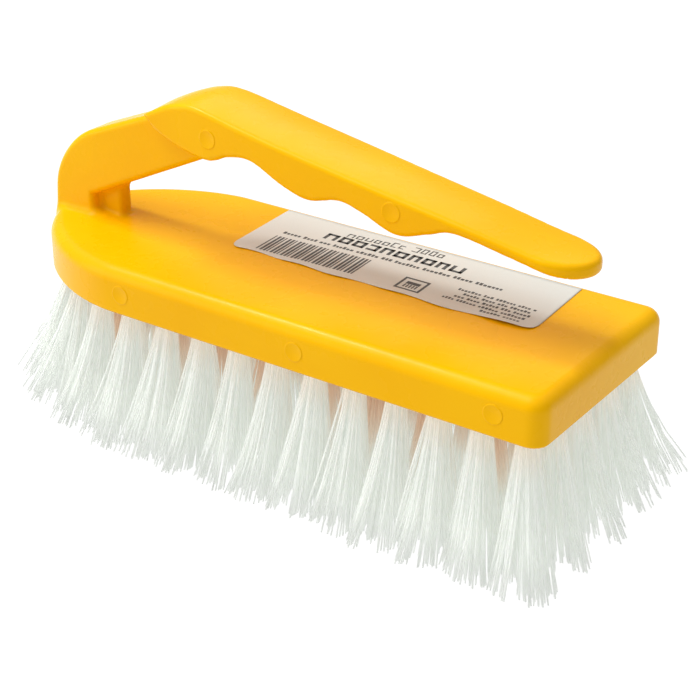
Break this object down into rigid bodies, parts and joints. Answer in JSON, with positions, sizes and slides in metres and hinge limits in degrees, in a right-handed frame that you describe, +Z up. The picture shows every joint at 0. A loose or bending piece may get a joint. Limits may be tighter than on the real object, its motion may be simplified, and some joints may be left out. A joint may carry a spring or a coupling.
{
  "type": "hand scrubbing brush",
  "caption": "Iron-style scrubbing brush: a moulded yellow block with an open scalloped grip above it, and white filament tufts that splay out below.",
  "frame": {"origin": "middle of the bounding box, on the plane that the tips of the tufts stand on", "axes": "+X towards the block's square front, below the free end of the grip; +Y across the block, towards the half of the top that carries the sticker; +Z up"},
  "size_m": [0.159, 0.0684, 0.0804],
  "materials": {
    "yellow_moulding": "smooth moulded polypropylene, semi-gloss",
    "white_filament": "translucent white polypropylene filament",
    "paper_label": "satin coated sticker"
  },
  "bodies": {
    "root": {"block_and_handle": "yellow_moulding", "label": "paper_label", "tuft_right_rim_01": "white_filament", "tuft_right_rim_02": "white_filament", "tuft_right_rim_03": "white_filament", "tuft_right_rim_04": "white_filament", "tuft_right_rim_05": "white_filament", "tuft_right_rim_06": "white_filament", "tuft_right_rim_07": "white_filament", "tuft_right_rim_08": "white_filament", "tuft_right_rim_09": "white_filament", "tuft_right_rim_10": "white_filament", "tuft_right_rim_11": "white_filament", "tuft_right_rim_12": "white_filament", "tuft_right_rim_13": "white_filament", "tuft_right_rim_14": "white_filament", "tuft_right_row_01": "white_filament", "tuft_right_row_02": "white_filament", "tuft_right_row_03": "white_filament", "tuft_right_row_04": "white_filament", "tuft_right_row_05": "white_filament", "tuft_right_row_06": "white_filament", "tuft_right_row_07": "white_filament", "tuft_right_row_08": "white_filament", "tuft_right_row_09": "white_filament", "tuft_centre_row_01": "white_filament", "tuft_centre_row_02": "white_filament", "tuft_centre_row_03": "white_filament", "tuft_centre_row_04": "white_filament", "tuft_centre_row_05": "white_filament", "tuft_centre_row_06": "white_filament", "tuft_centre_row_07": "white_filament", "tuft_centre_row_08": "white_filament", "tuft_centre_row_09": "white_filament", "tuft_centre_row_10": "white_filament", "tuft_centre_row_11": "white_filament", "tuft_left_row_01": "white_filament", "tuft_left_row_02": "white_filament", "tuft_left_row_03": "white_filament", "tuft_left_row_04": "white_filament", "tuft_left_row_05": "white_filament", "tuft_left_row_06": "white_filament", "tuft_left_row_07": "white_filament", "tuft_left_row_08": "white_filament", "tuft_left_row_09": "white_filament", "tuft_left_rim_01": "white_filament", "tuft_left_rim_02": "white_filament", "tuft_left_rim_03": "white_filament", "tuft_left_rim_04": "white_filament", "tuft_left_rim_05": "white_filament", "tuft_left_rim_06": "white_filament", "tuft_left_rim_07": "white_filament", "tuft_left_rim_08": "white_filament", "tuft_left_rim_09": "white_filament", "tuft_left_rim_10": "white_filament", "tuft_left_rim_11": "white_filament", "tuft_left_rim_12": "white_filament", "tuft_left_rim_13": "white_filament", "tuft_left_rim_14": "white_filament", "tuft_nose_01": "white_filament"}
  },
  "joints": []
}
